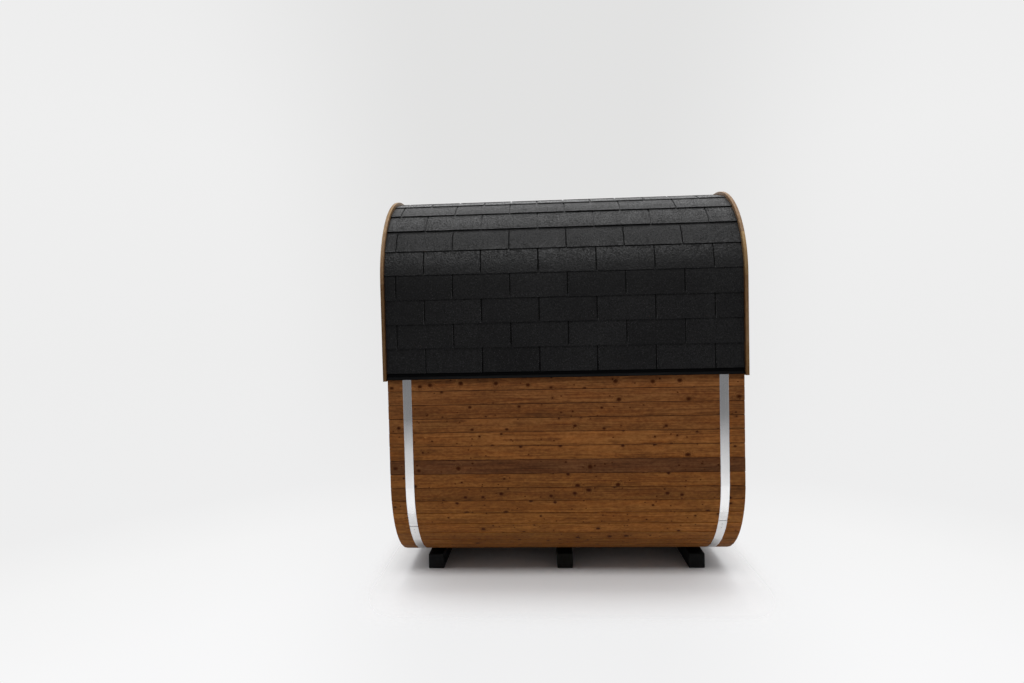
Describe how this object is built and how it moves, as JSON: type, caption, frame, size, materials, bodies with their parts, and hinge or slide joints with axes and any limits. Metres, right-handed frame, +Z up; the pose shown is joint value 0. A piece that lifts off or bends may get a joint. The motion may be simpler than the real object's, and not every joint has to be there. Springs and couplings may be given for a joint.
{
  "type": "cube sauna",
  "caption": "Outdoor cabin sauna: a rounded-square tube of stained boards on foot beams, with steel bands, a shingled roof over its upper half, and a door in one end.",
  "frame": {"origin": "on the ground, under the centre of the sauna", "axes": "+X along the tube from the closed end to the door end, -Y towards the long side with the eaves that faces the viewer, +Z up"},
  "size_m": [2.1, 2.336, 2.403],
  "materials": {
    "foot_beams": "matt black stain",
    "shell_boards": "warm brown stain, satin",
    "end_walls": "warm brown stain, satin",
    "door_wood": "warm brown stain, satin",
    "door_glass": "clear, polished",
    "fittings": "brushed",
    "bands": "brushed stainless",
    "shingles": "mineral granules on bitumen, matt",
    "drip_edges": "black, semi-gloss",
    "fascia": "light brown stain, satin"
  },
  "bodies": {
    "root": {"foot_beam_left": "foot_beams", "foot_beam_middle": "foot_beams", "foot_beam_right": "foot_beams", "shell_floor": "shell_boards", "shell_front_side": "shell_boards", "shell_back_side": "shell_boards", "shell_ceiling": "shell_boards", "shell_corner_front_lower": "shell_boards", "shell_corner_front_upper": "shell_boards", "shell_corner_back_upper": "shell_boards", "shell_corner_back_lower": "shell_boards", "closed_end_wall": "end_walls", "door_wall_front_panel": "end_walls", "door_wall_back_panel": "end_walls", "door_wall_header": "end_walls", "door_wall_sill": "end_walls", "door_jamb_hinge_side": "door_wood", "door_jamb_latch_side": "door_wood", "door_head": "door_wood", "door_threshold": "door_wood", "door_leaf": "door_wood", "door_glass": "door_glass", "door_hinge_upper": "fittings", "door_hinge_lower": "fittings", "door_handle": "door_wood", "band_left": "bands", "band_right": "bands", "roofing_front_side": "shingles", "roofing_front_corner": "shingles", "roofing_top": "shingles", "roofing_back_corner": "shingles", "roofing_back_side": "shingles", "ridge_cap": "shingles", "drip_edge_front": "drip_edges", "drip_edge_back": "drip_edges", "fascia_left_front_side": "fascia", "fascia_left_front_corner": "fascia", "fascia_left_top": "fascia", "fascia_left_back_corner": "fascia", "fascia_left_back_side": "fascia", "fascia_right_front_side": "fascia", "fascia_right_front_corner": "fascia", "fascia_right_top": "fascia", "fascia_right_back_corner": "fascia", "fascia_right_back_side": "fascia"}
  },
  "joints": []
}
